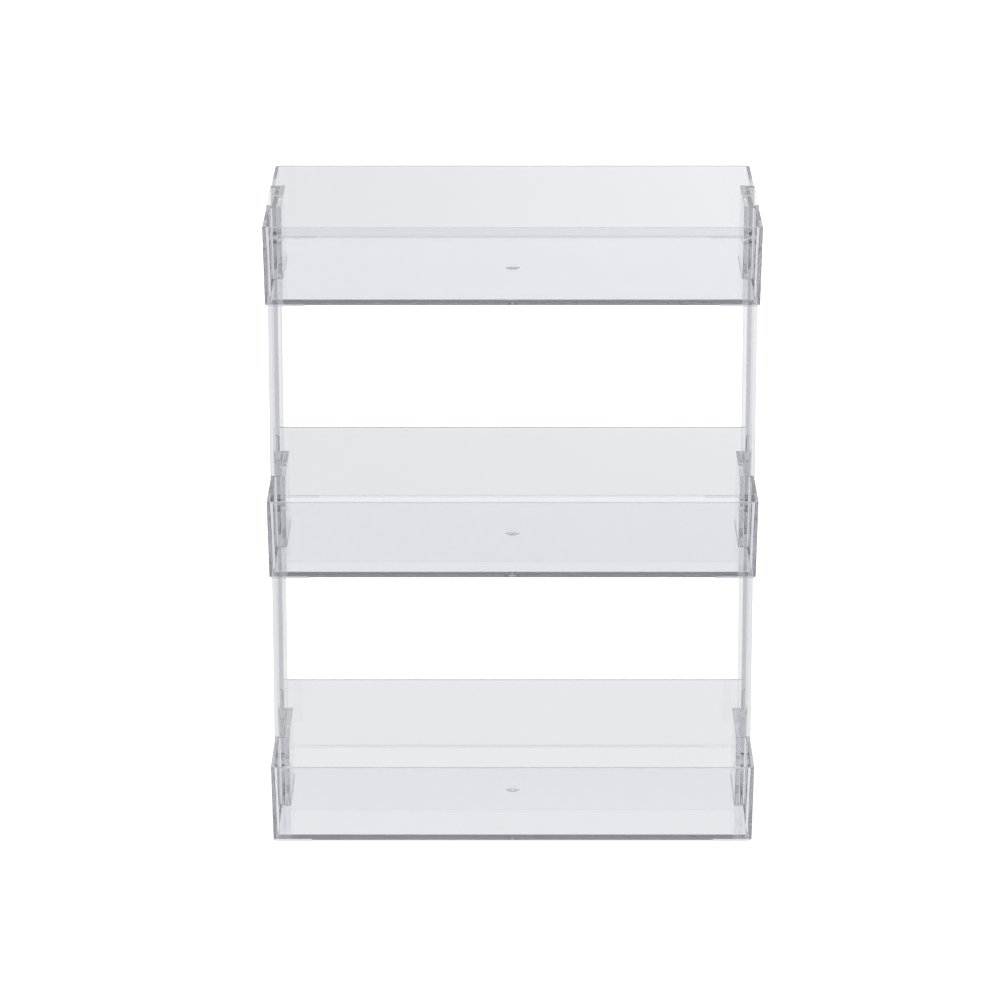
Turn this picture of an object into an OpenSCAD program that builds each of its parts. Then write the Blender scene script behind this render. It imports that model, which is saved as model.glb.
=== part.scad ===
// Three-tier clear organizer for a vanity or a bathroom counter.
// Three open trays hang one above the other on two upright channel posts.
// A post stands in a pocket at the middle of each tray's left and right side.
// Hollow snap studs on every pocket reach through holes in the post and catch behind its web.
// Both posts are the same channel moulding with closed ends, one the mirror image of the other.
// The origin is on the table, at the middle of the footprint. The front faces -Y.

/* [Trays] */
// Width of a tray across its rim, left to right
tray_w = 305; // [200:1:450]
// Depth of a tray across its rim, front to back
tray_d = 169; // [110:1:260]
// Height of a tray from its underside to its rim
tray_h = 49; // [40:0.5:90]
// Thickness of the upright tray walls
wall = 2.3; // [1.8:0.1:2.8]
// Thickness of the pocket wall that faces a post's web
pocket_wall = 2.7; // [1.8:0.1:3.2]
// Thickness of the tray floors
floor_t = 3; // [1.8:0.1:4]
// How much each outer side draws in from the rim down to the underside
lean = 1; // [0.5:0.1:1.5]
// Radius of a tray's upright outer corners at the rim
corner_r = 3; // [2.6:0.1:6]
// Radius of a tray's upright inner corners at the rim
inner_corner_r = 1.8; // [1.6:0.1:4]
// Height from one tray's underside to the next tray's underside
tier_step = 175; // [100:1:260]

/* [Feet] */
// Height of the feet under the trays
foot_h = 1; // [0.6:0.1:3]
// Length of a foot, left to right
foot_l = 23.5; // [10:0.5:40]
// Width of a foot, front to back
foot_w = 2; // [1.6:0.1:8]
// Distance of a foot from the edges of the tray's underside
foot_inset = 1.2; // [0.8:0.1:4]
// Radius of a foot's corners
foot_r = 0.7; // [0.2:0.1:0.7]

/* [Posts] */
// Depth of a post, front to back
post_d = 52; // [36:1:80]
// Thickness of a post, from its web to the edges of its flanges
post_t = 6.3; // [5.7:0.1:9]
// How far the edges of a post's flanges stand out beyond the tray rims
post_out = 0.4; // [0:0.1:1]
// Thickness of a post's web
web_t = 2.6; // [1.8:0.1:2.8]
// Thickness of a post's two flanges
flange_t = 2.3; // [1.6:0.1:4]
// Thickness of the walls that close a post's two ends
end_t = 2; // [1.4:0.1:4]

/* [Snap studs] */
// Distance from a post's front or back to the middle of the stud next to it
stud_inset = 8.5; // [6:0.5:10]
// Height of a stud's middle above its tray's underside
stud_z = 26; // [20:0.5:30]
// Diameter of a stud
stud_dia = 3.8; // [3.2:0.1:5]
// Diameter of the bore through a stud
bore_dia = 2; // [1:0.1:2.2]
// Diameter of the funnel at the bore's mouth, on the inside of the tray
funnel_dia = 5.2; // [3:0.1:6]
// Depth of the funnel
funnel_l = 2; // [1:0.1:2]
// Length of the barb at a stud's tip
barb_l = 1.5; // [0.8:0.1:1.7]
// Height of the barb all round the stud
barb_h = 0.4; // [0.3:0.1:0.6]

/* [Gate marks] */
// Diameter of the moulding gate's dimple under each floor
gate_dia = 4.8; // [3:0.1:8]
// Depth of the dimple
gate_depth = 1.2; // [0.6:0.1:1.4]
// Diameter of the gate stub left in the dimple
stub_dia = 1.6; // [0.8:0.1:2.2]
// Height of the gate stub
stub_h = 0.5; // [0.1:0.1:0.5]
// Diameter of the round boss over the dimple, on the inside of the floor
boss_dia = 8.6; // [6:0.1:14]
// Height of the boss
boss_h = 0.6; // [0.2:0.1:1]

/* [Clearances] */
// Gap between a post's web and the pocket behind it
web_gap = 0.3; // [0.2:0.05:0.6]
// Gap between a post's flanges and the pocket's front and back walls
flange_gap = 0.25; // [0.2:0.05:0.6]
// Gap between a stud and its hole, all round
stud_gap = 0.2; // [0.15:0.05:0.25]
// Gap between a barb and the web that it catches
catch_gap = 0.25; // [0.2:0.05:0.4]

/* [Hidden] */
$fn = 64;
// Overrun of every cut past the face that it opens
over = 1;
// Sides of the object: -1 is left, 1 is right; in Y, -1 is front, 1 is back
SIDES = [-1, 1];

// Undersides of the three trays
bottom_z = foot_h;
middle_z = bottom_z + tier_step;
top_z = middle_z + tier_step;
total_h = top_z + tray_h;

// Distances from the middle plane, to the left or to the right
post_edge_x = tray_w / 2 + post_out;
web_outer_x = post_edge_x - post_t + web_t;
web_inner_x = post_edge_x - post_t;
recess_x = web_inner_x - web_gap;
pocket_x = recess_x - pocket_wall;
// Where the pocket block stops inside the thickness of the tray's side wall
pocket_root_x = tray_w / 2 - lean - wall / 2;

// Half lengths along Y
recess_y = post_d / 2 + flange_gap;
pocket_y = recess_y + wall;
stud_y = post_d / 2 - stud_inset;

// Draft of the pockets is half the draft of the outer sides
pocket_lean = lean / 2;

// A stud from its root in the pocket wall out to its tip
stud_lean = pocket_lean * (1 - stud_z / tray_h);
stud_root_x = recess_x - stud_lean - pocket_wall / 4;
funnel_x = pocket_x - stud_lean;
catch_x = web_outer_x + catch_gap;
stud_tip_x = catch_x + barb_l;
// Share of a barb's length that keeps its full height before it narrows to the tip
barb_share = 1 / 3;

// Outline of a block that draws in by draw on both sides from its top to its bottom
module drawn_outline(w, h, draw) {
    polygon([[-w / 2 + draw, 0], [w / 2 - draw, 0], [w / 2, h], [-w / 2, h]]);
}

// Upright block with rounded corners that draws in downward on all four sides
module drawn_block(w, d, h, r, draw) {
    for (x = SIDES, y = SIDES)
        translate([x * (w / 2 - r), y * (d / 2 - r), 0])
            cylinder(h = h, r1 = r - draw, r2 = r);
    rotate([90, 0, 0])
        linear_extrude(d - 2 * r, center = true) drawn_outline(w, h, draw);
    rotate([90, 0, 90])
        linear_extrude(w - 2 * r, center = true) drawn_outline(d, h, draw);
}

// Upright block from x0 to x1 whose inner face and ends widen downward by draw
module pocket_block(x0, x1, half_y, h, draw) {
    intersection() {
        rotate([90, 0, 0])
            linear_extrude(2 * (half_y + draw), center = true)
                polygon([[x0 - draw, 0], [x1, 0], [x1, h], [x0, h]]);
        rotate([90, 0, 90])
            linear_extrude(x1)
                drawn_outline(2 * half_y, h, -draw);
    }
}

// Flat pad with rounded corners, centred
module pad(l, w, h, r) {
    linear_extrude(h) {
        square([l - 2 * r, w], center = true);
        square([l, w - 2 * r], center = true);
        for (x = SIDES, y = SIDES)
            translate([x * (l / 2 - r), y * (w / 2 - r)]) circle(r = r);
    }
}

// Round rod or cone along X from x0 to x1, from one diameter to the other
module rod(x0, x1, d0, d1) {
    translate([x0, 0, 0])
        rotate([0, 90, 0])
            cylinder(h = x1 - x0, d1 = d0, d2 = d1);
}

// Puts a thing at the two stud places of the right-hand side of a tray
module at_studs() {
    for (y = SIDES)
        translate([0, y * stud_y, stud_z]) children();
}

// One solid stud with the barb round its tip
module stud() {
    barb_dia = stud_dia + 2 * barb_h;
    shoulder_x = catch_x + barb_l * barb_share;
    rod(stud_root_x, shoulder_x, stud_dia, stud_dia);
    rod(catch_x, shoulder_x, barb_dia, barb_dia);
    rod(shoulder_x, stud_tip_x, barb_dia, stud_dia - barb_h);
}

// The bore of a stud and the funnel that leads into it from the inside of the tray
module stud_bore() {
    // The funnel is carried on into the tray, so its mouth there is wider by this much
    flare = over * (funnel_dia - bore_dia) / funnel_l;
    rod(funnel_x - over, funnel_x + funnel_l, funnel_dia + flare, bore_dia);
    rod(funnel_x, stud_tip_x + over, bore_dia, bore_dia);
}

module feet() {
    for (x = SIDES, y = SIDES)
        translate([
            x * (tray_w / 2 - lean - foot_inset - foot_l / 2),
            y * (tray_d / 2 - lean - foot_inset - foot_w / 2),
            -foot_h
        ])
            pad(foot_l, foot_w, foot_h + floor_t / 2, foot_r);
}

// Round boss that thickens the floor where the plastic comes in
module gate_boss() {
    translate([0, 0, floor_t / 2]) cylinder(h = floor_t / 2 + boss_h, d = boss_dia);
}

// Round dimple with the stub that the moulding gate leaves
module gate_cut() {
    difference() {
        translate([0, 0, -over]) cylinder(h = over + gate_depth, d = gate_dia);
        translate([0, 0, gate_depth - stub_h]) cylinder(h = stub_h + over, d = stub_dia);
    }
}

// One tray with its underside at z = 0
module tray() {
    difference() {
        union() {
            tray_shell();
            for (x = [0, 1])
                mirror([x, 0, 0]) at_studs() stud();
        }
        for (x = [0, 1])
            mirror([x, 0, 0]) at_studs() stud_bore();
    }
}

// A tray without its studs
module tray_shell() {
    difference() {
        union() {
            difference() {
                drawn_block(tray_w, tray_d, tray_h, corner_r, lean);
                tray_inside();
            }
            for (x = [0, 1])
                mirror([x, 0, 0])
                    pocket_block(pocket_x, pocket_root_x, pocket_y, tray_h, pocket_lean);
            feet();
            gate_boss();
        }
        for (x = [0, 1])
            mirror([x, 0, 0]) post_recess();
        gate_cut();
    }
}

// The hollow of a tray, from its floor up past its rim at the draft of the sides
module tray_inside() {
    hollow_h = tray_h - floor_t + over;
    draw = lean * hollow_h / tray_h;
    // The hollow is carried on past the rim, so its top is wider than the rim by this much
    flare = lean * over / tray_h;
    translate([0, 0, floor_t])
        drawn_block(
            tray_w - 2 * wall + 2 * flare,
            tray_d - 2 * wall + 2 * flare,
            hollow_h, inner_corner_r + flare, draw
        );
}

// The space for a post, cut through the right-hand side and the floor
module post_recess() {
    cut_h = tray_h + 2 * over;
    draw = pocket_lean * cut_h / tray_h;
    flare = pocket_lean * over / tray_h;
    translate([0, 0, -over])
        pocket_block(recess_x + flare, post_edge_x + over, recess_y - flare, cut_h, draw);
}

// Right-hand post: a channel open to the outside and closed at its ends, with holes for
// each tray's studs
module post() {
    hole_dia = stud_dia + 2 * stud_gap;
    difference() {
        translate([web_inner_x, -post_d / 2, bottom_z])
            cube([post_t, post_d, total_h - bottom_z]);
        translate([web_outer_x, -post_d / 2 + flange_t, bottom_z + end_t])
            cube([post_t, post_d - 2 * flange_t, total_h - bottom_z - 2 * end_t]);
        for (z = [bottom_z, middle_z, top_z])
            translate([0, 0, z])
                at_studs() rod(web_inner_x - over, web_outer_x + over, hole_dia, hole_dia);
    }
}

module tray_top() {
    color([0.93, 0.94, 0.96, 0.45])
        translate([0, 0, top_z]) tray();
}

module tray_middle() {
    color([0.93, 0.94, 0.96, 0.45])
        translate([0, 0, middle_z]) tray();
}

module tray_bottom() {
    color([0.93, 0.94, 0.96, 0.45])
        translate([0, 0, bottom_z]) tray();
}

module post_left() {
    color([0.88, 0.89, 0.92, 0.45])
        mirror([1, 0, 0]) post();
}

module post_right() {
    color([0.88, 0.89, 0.92, 0.45])
        post();
}

tray_top();
tray_middle();
tray_bottom();
post_left();
post_right();
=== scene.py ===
"""Clear three-tier vanity organizer: its moulded pieces, their finish, the light and the camera.

Units are metres. The origin is on the table at the middle of the footprint, the front faces -Y.
"""

import math

import bmesh
import bpy
from mathutils import Matrix, Vector


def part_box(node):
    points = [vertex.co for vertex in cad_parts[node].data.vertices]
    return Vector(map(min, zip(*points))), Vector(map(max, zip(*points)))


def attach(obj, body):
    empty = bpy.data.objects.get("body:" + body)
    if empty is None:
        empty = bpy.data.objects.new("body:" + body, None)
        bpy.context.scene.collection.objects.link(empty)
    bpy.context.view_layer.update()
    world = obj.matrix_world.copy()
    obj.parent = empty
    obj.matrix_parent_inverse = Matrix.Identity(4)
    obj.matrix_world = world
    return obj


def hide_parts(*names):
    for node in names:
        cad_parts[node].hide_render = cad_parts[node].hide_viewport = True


MM = 0.001

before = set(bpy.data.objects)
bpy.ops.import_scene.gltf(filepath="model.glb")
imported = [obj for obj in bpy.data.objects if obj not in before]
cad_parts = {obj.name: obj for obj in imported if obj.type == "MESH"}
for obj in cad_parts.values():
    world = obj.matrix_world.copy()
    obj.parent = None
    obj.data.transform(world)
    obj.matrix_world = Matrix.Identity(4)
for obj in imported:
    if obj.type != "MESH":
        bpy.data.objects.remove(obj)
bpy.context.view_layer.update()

# Height of the feet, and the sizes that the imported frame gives
FOOT_H = 1.0 * MM
tray_low, tray_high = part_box("tray_bottom")
post_low, post_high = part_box("post_right")
TRAY_W = tray_high[0] - tray_low[0]
TRAY_D = tray_high[1] - tray_low[1]
TRAY_H = tray_high[2] - tray_low[2] - FOOT_H
POST_D = post_high[1] - post_low[1]
WEB_INNER_X = post_low[0]
POST_EDGE_X = post_high[0]

# Moulding sizes of a tray
WALL = 2.3 * MM
POCKET_WALL = 2.7 * MM
FLOOR_T = 3.0 * MM
LEAN = 1.0 * MM
POCKET_LEAN = LEAN / 2
CORNER_R = 3.0 * MM
INNER_CORNER_R = 1.8 * MM
BASE_EDGE_R = 0.3 * MM
FLOOR_FILLET_R = 1.0 * MM
POCKET_FILLET_SHARE = 0.25
RIM_R = 0.35 * MM
NOTCH_R = 0.3 * MM
NOTCH_LEAST_R = NOTCH_R / 6
NOTCH_ROOT_R = 0.4 * MM
POCKET_R = 0.8 * MM
POCKET_ROOT_R = 1.3 * MM

# Feet
FOOT_L = 23.5 * MM
FOOT_W = 2.0 * MM
FOOT_INSET = 1.2 * MM
FOOT_R = 0.7 * MM
FOOT_EDGE_R = 0.2 * MM

# Moulding sizes of a post
WEB_T = 2.6 * MM
FLANGE_T = 2.3 * MM
END_T = 2.0 * MM
POST_EDGE_R = 0.35 * MM
POST_HOLLOW_R = 0.6 * MM
POST_CORNER_R = 1.2 * POST_EDGE_R
POST_ROOT_R = 0.8 * POST_HOLLOW_R

# Hollow snap studs
STUD_INSET = 8.5 * MM
STUD_Z = 26.0 * MM
STUD_R = 1.9 * MM
BORE_R = 1.0 * MM
FUNNEL_R = 2.6 * MM
FUNNEL_L = 2.0 * MM
BARB_L = 1.5 * MM
BARB_H = 0.4 * MM
BARB_LAND_L = BARB_L / 3
BARB_EDGE = 0.1 * MM

# Gate marks
GATE_R = 2.4 * MM
GATE_DEPTH = 1.2 * MM
GATE_ROOT_R = 0.6 * GATE_DEPTH
STUB_R = 0.8 * MM
STUB_H = 0.5 * MM
BOSS_R = 4.3 * MM
BOSS_H = 0.6 * MM
BOSS_EDGE = 0.1 * MM

# Clearances
WEB_GAP = 0.3 * MM
FLANGE_GAP = 0.25 * MM
STUD_GAP = 0.2 * MM
CATCH_GAP = 0.25 * MM

# Places that follow from the sizes, on the right-hand side
WEB_OUTER_X = WEB_INNER_X + WEB_T
RECESS_X = WEB_INNER_X - WEB_GAP
POCKET_X = RECESS_X - POCKET_WALL
RECESS_Y = POST_D / 2 + FLANGE_GAP
POCKET_Y = RECESS_Y + WALL
STUD_Y = POST_D / 2 - STUD_INSET
STUD_LEAN = POCKET_LEAN * (1 - STUD_Z / TRAY_H)
STUD_ROOT_X = RECESS_X - STUD_LEAN - POCKET_WALL / 4
FUNNEL_X = POCKET_X - STUD_LEAN
CATCH_X = WEB_OUTER_X + CATCH_GAP
STUD_TIP_X = CATCH_X + BARB_L

# Signs of the two sides and of the four corners
SIDES = (-1, 1)
CORNERS = ((-1, -1), (1, -1), (1, 1), (-1, 1))

# Fineness of the roundings: steps in a quarter turn, points round a stud or a gate mark, and the
# turns between faces from which an edge is rounded or shaded as sharp
ARC_STEPS = 4
CORNER_STEPS = 8
FOOT_STEPS = 5
FOOT_EDGE_STEPS = 2
TURN_POINTS = 48
SHARP_ANGLE = math.radians(30)
CREASE_ANGLE = math.radians(35)

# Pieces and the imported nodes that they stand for
TRAYS = {"top_tray": "tray_top", "middle_tray": "tray_middle", "bottom_tray": "tray_bottom"}
POSTS = {"left_post": ("post_left", -1), "right_post": ("post_right", 1)}

# Clear polystyrene
REFRACTION = 1.58
TINT_CLOUDY = (0.95, 0.953, 0.962, 1.0)
TINT_CLEAR = (0.965, 0.968, 0.975, 1.0)
SHADOW_TINT = (0.93, 0.935, 0.94, 1.0)
DEPTH_TINT = (0.0, 0.0, 0.055, 1.0)
DEPTH_DENSITY = 7.3
MARK_ROUGHNESS = 0.1
RIPPLE_H = 0.4 * MM

# Brightness and colours of the table and of the room
TABLE_TO_CAMERA = 0.80
TABLE_FRONT = 0.33
TABLE_BACK = 0.88
TABLE_FAR_LEFT = 0.90
TABLE_FAR_RIGHT = 0.99
ROOM_FRONT = 0.35
ROOM_BACK = 0.87
ROOM_LOW_BACK = 0.4
ROOM_ABOVE = 0.5
COOL = (0.983, 0.991, 1.018, 1.0)
WHITE = (1.0, 1.0, 1.0, 1.0)
GREY = (0.5, 0.5, 0.5, 1.0)

# Where that brightness changes: on the table in metres, in the room in parts of a unit direction
TABLE_FRONT_TO_BACK = (-0.35, -0.085)
TABLE_BACK_TO_FAR = (0.0, 1.6)
TABLE_LEFT_TO_RIGHT = (-0.25, 0.35)
ROOM_FRONT_TO_BACK = (-0.35, 0.25)
ROOM_LOW_TO_HIGH = (0.1, 0.5)
ROOM_HIGH_TO_ABOVE = (0.45, 0.95)

# Half length of the table, in metres
TABLE_REACH = 12.0

# Camera, as fitted to the photo, and how often light may turn on its way to it
SENSOR_W = 36.0
CAMERA_LENS = 163.46
CAMERA_SHIFT = (-0.01256, -0.0165)
CAMERA_AT = (0.0, -2.7698, 1.0553)
CAMERA_TILT = math.radians(90 - 16.938)
CLEAR_BOUNCES = 48
GLOSS_BOUNCES = 24


# Shader maths


class Value:
    """A number that varies over a surface: arithmetic on it adds Math nodes."""

    def __init__(self, socket):
        self.socket = socket

    def _math(self, operation, other, swap=False):
        tree = self.socket.id_data
        node = tree.nodes.new("ShaderNodeMath")
        node.operation = operation
        terms = (other, self) if swap else (self, other)
        for entry, term in zip(node.inputs, terms):
            feed(tree, entry, term)
        return Value(node.outputs[0])

    def __add__(self, other):
        return self._math("ADD", other)

    def __sub__(self, other):
        return self._math("SUBTRACT", other)

    def __mul__(self, other):
        return self._math("MULTIPLY", other)

    def __rsub__(self, other):
        return self._math("SUBTRACT", other, swap=True)

    __radd__ = __add__
    __rmul__ = __mul__


def feed(tree, entry, term):
    """Links a Value or a socket into an input, or sets a plain value there."""
    if isinstance(term, Value):
        tree.links.new(term.socket, entry)
    elif isinstance(term, bpy.types.NodeSocket):
        tree.links.new(term, entry)
    else:
        entry.default_value = term


class Shader:
    """A node tree under construction."""

    def __init__(self, owner):
        owner.use_nodes = True
        self.tree = owner.node_tree
        self.tree.nodes.clear()

    def node(self, kind, settings=None, **values):
        """A node of a type, with its settings made first and its inputs fed by name."""
        node = self.tree.nodes.new("ShaderNode" + kind)
        for name, setting in (settings or {}).items():
            setattr(node, name, setting)
        for name, value in values.items():
            feed(self.tree, node.inputs[name.replace("_", " ")], value)
        return node

    def smoothstep(self, value, start, end):
        node = self.node("MapRange", {"interpolation_type": "SMOOTHSTEP"}, Value=value)
        node.inputs["From Min"].default_value = start
        node.inputs["From Max"].default_value = end
        return Value(node.outputs["Result"])

    def one_unless_reflected(self, value):
        """1 for light that only passes through the object, and the value for what it reflects."""
        depth = self.node("LightPath").outputs["Glossy Depth"]
        reflected = self.smoothstep(depth, start=0.0, end=1.0)
        return 1 - (1 - value) * reflected

    def noise(self, where, scale, detail):
        return Value(self.node("TexNoise", Vector=where, Scale=scale, Detail=detail).outputs[0])

    def mix_colours(self, amount, first, second):
        node = self.node("Mix", {"data_type": "RGBA"})
        colours = [entry for entry in node.inputs if entry.type == "RGBA"]
        feed(self.tree, node.inputs[0], amount)
        feed(self.tree, colours[0], first)
        feed(self.tree, colours[1], second)
        return next(exit for exit in node.outputs if exit.type == "RGBA")

    def mix_shaders(self, amount, first, second):
        node = self.node("MixShader")
        for entry, term in zip(node.inputs, (amount, first.outputs[0], second.outputs[0])):
            feed(self.tree, entry, term)
        return node

    def glow(self, strength):
        return self.node("Emission", Color=COOL, Strength=strength)

    def output(self, kind, surface, volume=None):
        node = self.node(kind, Surface=surface.outputs[0])
        if volume:
            feed(self.tree, node.inputs["Volume"], volume.outputs[0])


def clear_polystyrene(name):
    """Clear moulded polystyrene: polished, faintly grey in long paths, with fine handling marks."""
    mat = bpy.data.materials.new(name)
    sh = Shader(mat)
    where = sh.node("TexCoord").outputs["Object"]
    cloud = sh.noise(where, scale=14.0, detail=3.0)
    tint = sh.mix_colours(cloud, TINT_CLOUDY, TINT_CLEAR)
    marks = sh.smoothstep(sh.noise(where, scale=260.0, detail=4.0), start=0.66, end=0.78)
    ripple = sh.noise(where, scale=45.0, detail=2.0)
    bump = sh.node("Bump", Strength=0.02, Distance=RIPPLE_H, Height=ripple)
    plastic = sh.node(
        "BsdfPrincipled", Base_Color=tint, Roughness=marks * MARK_ROUGHNESS, Normal=bump.outputs[0]
    )
    plastic.inputs["IOR"].default_value = REFRACTION
    plastic.inputs["Transmission Weight"].default_value = 1.0
    clear = sh.node("BsdfTransparent", Color=SHADOW_TINT)
    shadow_ray = sh.node("LightPath").outputs["Is Shadow Ray"]
    depth = sh.node("VolumeAbsorption", Color=DEPTH_TINT, Density=DEPTH_DENSITY)
    sh.output("OutputMaterial", sh.mix_shaders(shadow_ray, plastic, clear), depth)
    return mat


def white_table():
    """White table: bright to the camera and through the pieces, darker in front where they reflect it."""
    mat = bpy.data.materials.new("white_table")
    sh = Shader(mat)
    top = sh.node("BsdfPrincipled", Base_Color=GREY, Roughness=0.9)
    top.inputs["Emission Color"].default_value = WHITE
    top.inputs["Emission Strength"].default_value = TABLE_TO_CAMERA
    split = sh.node("SeparateXYZ", Vector=sh.node("TexCoord").outputs["Object"])
    across, along = Value(split.outputs["X"]), Value(split.outputs["Y"])
    back = sh.one_unless_reflected(sh.smoothstep(along, *TABLE_FRONT_TO_BACK))
    near = sh.mix_shaders(back, sh.glow(TABLE_FRONT), sh.glow(TABLE_BACK))
    right = sh.smoothstep(across, *TABLE_LEFT_TO_RIGHT)
    far = sh.mix_shaders(right, sh.glow(TABLE_FAR_LEFT), sh.glow(TABLE_FAR_RIGHT))
    lit = sh.mix_shaders(sh.smoothstep(along, *TABLE_BACK_TO_FAR), near, far)
    camera_ray = sh.node("LightPath").outputs["Is Camera Ray"]
    sh.output("OutputMaterial", sh.mix_shaders(camera_ray, lit, top))
    return mat


def studio_world():
    """Soft studio light: brighter low down and overhead, dim in front where the pieces reflect it."""
    world = bpy.data.worlds.new("studio")
    bpy.context.scene.world = world
    sh = Shader(world)
    split = sh.node("SeparateXYZ", Vector=sh.node("TexCoord").outputs["Generated"])
    along, up = Value(split.outputs["Y"]), Value(split.outputs["Z"])
    back = sh.one_unless_reflected(sh.smoothstep(along, *ROOM_FRONT_TO_BACK))
    low = 1 - sh.smoothstep(up, *ROOM_LOW_TO_HIGH)
    above = sh.smoothstep(up, *ROOM_HIGH_TO_ABOVE)
    glow = back * (low * ROOM_LOW_BACK + ROOM_BACK - ROOM_FRONT) + above * ROOM_ABOVE + ROOM_FRONT
    sh.output("OutputWorld", sh.node("Background", Color=COOL, Strength=glow))


# Mesh making

# Sine and cosine at the points of a quarter turn
QUARTER_TURNS = [math.pi / 2 * k / ARC_STEPS for k in range(ARC_STEPS + 1)]
QUARTER = [(math.sin(a), math.cos(a)) for a in QUARTER_TURNS]


def rounded(corners):
    """Closed outline whose corners, each (x, y, radius, steps), are rounded by arcs."""
    outline = []
    for i, (x, y, radius, steps) in enumerate(corners):
        at = Vector((x, y))
        back = (Vector(corners[i - 1][:2]) - at).normalized()
        ahead = (Vector(corners[(i + 1) % len(corners)][:2]) - at).normalized()
        half = back.angle(ahead) / 2
        centre = at + (back + ahead).normalized() * radius / math.sin(half)
        start = at + back * radius / math.tan(half) - centre
        end = at + ahead * radius / math.tan(half) - centre
        turn = start.angle(end)
        for k in range(steps + 1):
            share = k / steps
            arm = start * math.sin((1 - share) * turn) + end * math.sin(share * turn)
            outline.append(centre + arm / math.sin(turn))
    return outline


def new_object(name, data):
    piece = bpy.data.objects.new(name, data)
    bpy.context.scene.collection.objects.link(piece)
    return piece


def skin(name, *shells):
    """One object whose shells are each a list of rings with as many points, capped at both ends."""
    bm = bmesh.new()
    for rings in shells:
        rows = [[bm.verts.new(point) for point in ring] for ring in rings]
        for row, following in zip(rows, rows[1:]):
            for i in range(len(row)):
                bm.faces.new((row[i - 1], row[i], following[i], following[i - 1]))
        bm.faces.new(rows[0])
        bm.faces.new(rows[-1])
    bmesh.ops.recalc_face_normals(bm, faces=bm.faces)
    mesh = bpy.data.meshes.new(name)
    bm.to_mesh(mesh)
    bm.free()
    return new_object(name, mesh)


def joined_and_cut(body, added, removed):
    """The mesh of a body with some objects joined on and others cut away; it uses them all up."""
    for tool, operation in [(one, "UNION") for one in added] + [(one, "DIFFERENCE") for one in removed]:
        change = body.modifiers.new("change", "BOOLEAN")
        change.operation = operation
        change.solver = "EXACT"
        change.object = tool
    mesh = bpy.data.meshes.new_from_object(body.evaluated_get(bpy.context.evaluated_depsgraph_get()))
    for used in [body, *added, *removed]:
        bpy.data.objects.remove(used)
    return mesh


def soften(piece, width, steps):
    """Rounds the edges of a piece where its faces turn sharply."""
    bevel = piece.modifiers.new("bevel", "BEVEL")
    bevel.width = width
    bevel.segments = steps
    bevel.limit_method = "ANGLE"
    bevel.angle_limit = SHARP_ANGLE


def polished(mesh):
    """Shades a mesh smooth across its roundings and flat between its sharp edges."""
    for face in mesh.polygons:
        face.use_smooth = True
    mesh.set_sharp_from_angle(angle=CREASE_ANGLE)


def level(outline, z):
    return [Vector((x, y, z)) for x, y in outline]


# Trays


def tray_outline(half_w, half_d, main_r, notch_x, notch_y, notch_r, root_r):
    """Outline of a tray, drawn in at both sides; root_r rounds the corners next to the middle."""
    half = [
        (notch_x, -notch_y, root_r, ARC_STEPS),
        (notch_x, notch_y, root_r, ARC_STEPS),
        (half_w, notch_y, notch_r, ARC_STEPS),
        (half_w, half_d, main_r, CORNER_STEPS),
        (-half_w, half_d, main_r, CORNER_STEPS),
        (-half_w, notch_y, notch_r, ARC_STEPS),
    ]
    return rounded(half + [(-x, -y, radius, steps) for x, y, radius, steps in half])


def outside(z, inset):
    """Outer outline of a tray at a height, drawn in by inset."""
    drop = 1 - z / TRAY_H
    draw = LEAN * drop + inset
    return level(tray_outline(
        TRAY_W / 2 - draw, TRAY_D / 2 - draw, CORNER_R - draw,
        RECESS_X - POCKET_LEAN * drop - inset, RECESS_Y + POCKET_LEAN * drop + inset,
        max(NOTCH_R - inset, NOTCH_LEAST_R), NOTCH_ROOT_R + inset,
    ), z)


def inside(z, spread, pocket_share=1.0):
    """Inner outline of a tray at a height, widened into the walls by spread, less at the pockets."""
    drop = 1 - z / TRAY_H
    draw = LEAN * drop + WALL - spread
    return level(tray_outline(
        TRAY_W / 2 - draw, TRAY_D / 2 - draw, INNER_CORNER_R + spread,
        POCKET_X - POCKET_LEAN * drop + spread * pocket_share, POCKET_Y + POCKET_LEAN * drop - spread,
        POCKET_ROOT_R + spread, POCKET_R - spread,
    ), z)


def tray_body():
    """Floor, walls and pockets of a tray, with its underside at z = 0."""
    rings = [outside(BASE_EDGE_R * (1 - c), BASE_EDGE_R * (1 - s)) for s, c in QUARTER]
    rings += [outside(TRAY_H - RIM_R * (1 - s), RIM_R * (1 - c)) for s, c in QUARTER]
    rings += [inside(TRAY_H - RIM_R * (1 - c), RIM_R * (1 - s)) for s, c in QUARTER]
    rings += [
        inside(FLOOR_T + FLOOR_FILLET_R * (1 - s), -FLOOR_FILLET_R * (1 - c), POCKET_FILLET_SHARE)
        for s, c in QUARTER
    ]
    return skin("tray_body", rings)


def foot(x, y):
    """Rings of one corner foot, from inside the floor down to the table."""
    mid_x = x * (TRAY_W / 2 - LEAN - FOOT_INSET - FOOT_L / 2)
    mid_y = y * (TRAY_D / 2 - LEAN - FOOT_INSET - FOOT_W / 2)
    outline = rounded([
        (mid_x + a * FOOT_L / 2, mid_y + b * FOOT_W / 2, FOOT_R, FOOT_STEPS)
        for a, b in CORNERS
    ])
    return [level(outline, FLOOR_T / 2), level(outline, -FOOT_H)]


def turned(profile, place):
    """Rings round an axis through points (radius, distance along it), which place puts in position."""
    turns = [2 * math.pi * k / TURN_POINTS for k in range(TURN_POINTS)]
    return [
        [Vector(place(r * math.cos(a), r * math.sin(a), along)) for a in turns] for r, along in profile
    ]


def upright(x, y, z):
    return x, y, z


def at_stud(side, end, bottom=0.0):
    """Puts turned rings at a stud's place on one side and end, above a tray's underside at bottom."""
    return lambda y, z, along: (side * along, end * STUD_Y + y, bottom + STUD_Z + z)


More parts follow.
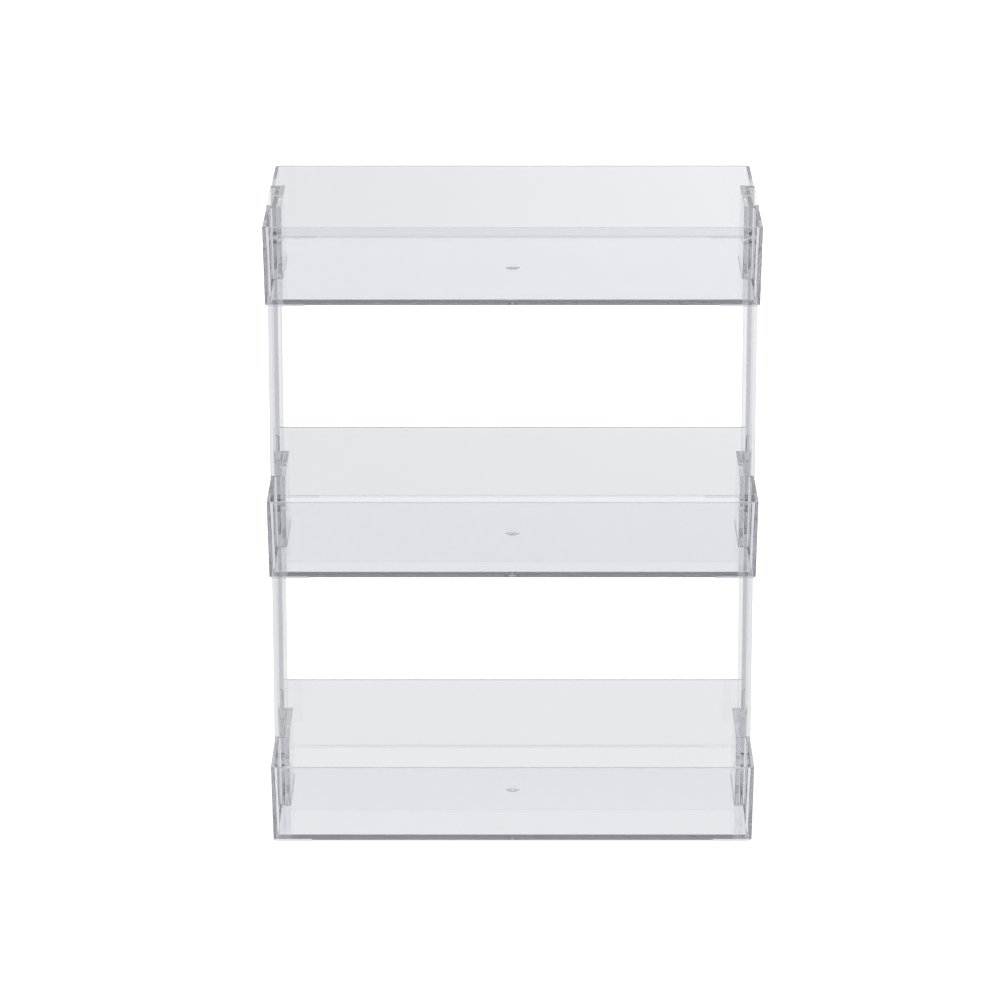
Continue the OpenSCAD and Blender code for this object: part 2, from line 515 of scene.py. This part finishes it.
def stud(side, end):
    """Rings of one solid snap stud, from inside the pocket wall to its barbed tip."""
    barb_r = STUD_R + BARB_H
    tip_r = STUD_R - BARB_H / 2
    return turned([
        (STUD_R, STUD_ROOT_X), (STUD_R, CATCH_X), (barb_r - BARB_EDGE, CATCH_X),
        (barb_r, CATCH_X + BARB_EDGE), (barb_r, CATCH_X + BARB_LAND_L),
        (tip_r, STUD_TIP_X - BARB_EDGE), (tip_r - BARB_EDGE, STUD_TIP_X),
    ], at_stud(side, end))


def stud_bore(side, end):
    """Rings of the cutter for a stud's bore and the funnel that leads into it from the tray."""
    flare = (FUNNEL_R - BORE_R) * BARB_L / FUNNEL_L
    return turned([
        (FUNNEL_R + flare, FUNNEL_X - BARB_L),
        (BORE_R, FUNNEL_X + FUNNEL_L),
        (BORE_R, STUD_TIP_X + BARB_L),
    ], at_stud(side, end))


def gate_ring():
    """Ring-shaped cutter of the gate's dimple, with the stub left standing in it."""
    dome = [(GATE_R - GATE_ROOT_R * (1 - c), GATE_DEPTH - GATE_ROOT_R * (1 - s)) for s, c in QUARTER]
    cutter = skin("gate", turned([(GATE_R, -FOOT_H)] + dome, upright))
    stub = skin("stub", turned([(STUB_R, GATE_DEPTH - STUB_H), (STUB_R, GATE_DEPTH + STUB_H)], upright))
    return new_object("gate", joined_and_cut(cutter, [], [stub]))


def gate_boss():
    """Low round boss on the inside of the floor, over the gate's dimple."""
    top = FLOOR_T + BOSS_H
    return skin("boss", turned([
        (BOSS_R, FLOOR_T / 2), (BOSS_R, top - BOSS_EDGE), (BOSS_R - BOSS_EDGE, top),
    ], upright))


def tray_mesh():
    feet = skin("feet", *[foot(x, y) for x in SIDES for y in SIDES])
    soften(feet, FOOT_EDGE_R, FOOT_EDGE_STEPS)
    studs = skin("studs", *[stud(x, y) for x in SIDES for y in SIDES])
    bores = skin("bores", *[stud_bore(x, y) for x in SIDES for y in SIDES])
    mesh = joined_and_cut(tray_body(), [feet, studs, gate_boss()], [gate_ring(), bores])
    polished(mesh)
    return mesh


# Posts


def post_ring(half_y, end_z, radius, x):
    """Upright outline of a post at a distance from the middle plane, end_z in from its ends."""
    bottom = post_low[2] + end_z
    top = post_high[2] - end_z
    corners = [(-half_y, bottom), (half_y, bottom), (half_y, top), (-half_y, top)]
    return [Vector((x, y, z)) for y, z in rounded([(y, z, radius, ARC_STEPS) for y, z in corners])]


def post_body():
    """Channel of a post, open to the right and closed at its ends."""
    out_r = POST_EDGE_R
    rings = [
        post_ring(POST_D / 2 - out_r * (1 - s), out_r * (1 - s), POST_CORNER_R - out_r * (1 - s),
                  WEB_INNER_X + out_r * (1 - c))
        for s, c in QUARTER
    ]
    rings += [
        post_ring(POST_D / 2 - out_r * (1 - c), out_r * (1 - c), POST_CORNER_R - out_r * (1 - c),
                  POST_EDGE_X - out_r * (1 - s))
        for s, c in QUARTER
    ]
    half_y = POST_D / 2 - FLANGE_T
    rings += [
        post_ring(half_y + out_r * (1 - s), END_T - out_r * (1 - s), POST_HOLLOW_R + out_r * (1 - s),
                  POST_EDGE_X - out_r * (1 - c))
        for s, c in QUARTER
    ]
    root_r = POST_ROOT_R
    rings += [
        post_ring(half_y - root_r * (1 - c), END_T + root_r * (1 - c), POST_HOLLOW_R - root_r * (1 - c),
                  WEB_OUTER_X + root_r * (1 - s))
        for s, c in QUARTER
    ]
    return skin("post_body", rings)


def stud_hole(end, bottom):
    """Rings of the cutter for one stud's hole, through the web."""
    hole_r = STUD_R + STUD_GAP
    return turned([(hole_r, WEB_INNER_X - WEB_T), (hole_r, WEB_OUTER_X + WEB_T / 4)],
                  at_stud(1, end, bottom))


def post_mesh(tray_bottoms):
    holes = skin("holes", *[stud_hole(y, z) for y in SIDES for z in tray_bottoms])
    mesh = joined_and_cut(post_body(), [], [holes])
    polished(mesh)
    return mesh


def finish_piece(name, mesh, material, node):
    """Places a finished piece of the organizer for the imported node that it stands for."""
    piece = new_object(name, mesh)
    mesh.materials.clear()
    mesh.materials.append(material)
    even = piece.modifiers.new("even", "WEIGHTED_NORMAL")
    even.keep_sharp = True
    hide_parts(node)
    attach(piece, "root")


clear_tray = clear_polystyrene("clear_tray")
clear_post = clear_polystyrene("clear_post")

tray_bottoms = [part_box(node)[0][2] + FOOT_H for node in TRAYS.values()]
one_tray = tray_mesh()
for (name, node), z in zip(TRAYS.items(), tray_bottoms):
    mesh = one_tray.copy()
    mesh.transform(Matrix.Translation((0.0, 0.0, z)))
    finish_piece(name, mesh, clear_tray, node)

one_post = post_mesh(tray_bottoms)
for name, (node, side) in POSTS.items():
    mesh = one_post.copy()
    if side < 0:
        mesh.transform(Matrix.Rotation(math.pi, 4, "Z"))
    finish_piece(name, mesh, clear_post, node)

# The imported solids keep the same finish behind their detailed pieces
for name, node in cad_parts.items():
    node.data.materials.clear()
    node.data.materials.append(clear_post if name.startswith("post") else clear_tray)

# Table, light and camera

table_mesh = bpy.data.meshes.new("table")
table_corners = [(x * TABLE_REACH, y * TABLE_REACH, 0) for x, y in CORNERS]
table_mesh.from_pydata(table_corners, [], [(0, 1, 2, 3)])
table_mesh.materials.append(white_table())
new_object("table", table_mesh)

studio_world()

cam_data = bpy.data.cameras.new("camera")
cam_data.sensor_width = SENSOR_W
cam_data.lens = CAMERA_LENS
cam_data.shift_x, cam_data.shift_y = CAMERA_SHIFT
camera = new_object("camera", cam_data)
camera.location = CAMERA_AT
camera.rotation_euler = (CAMERA_TILT, 0.0, 0.0)

scene = bpy.context.scene
scene.camera = camera
scene.view_settings.view_transform = "Standard"
scene.cycles.max_bounces = CLEAR_BOUNCES
scene.cycles.transmission_bounces = CLEAR_BOUNCES
scene.cycles.glossy_bounces = GLOSS_BOUNCES
scene.cycles.transparent_max_bounces = CLEAR_BOUNCES
scene.cycles.caustics_refractive = False
scene.cycles.caustics_reflective = False
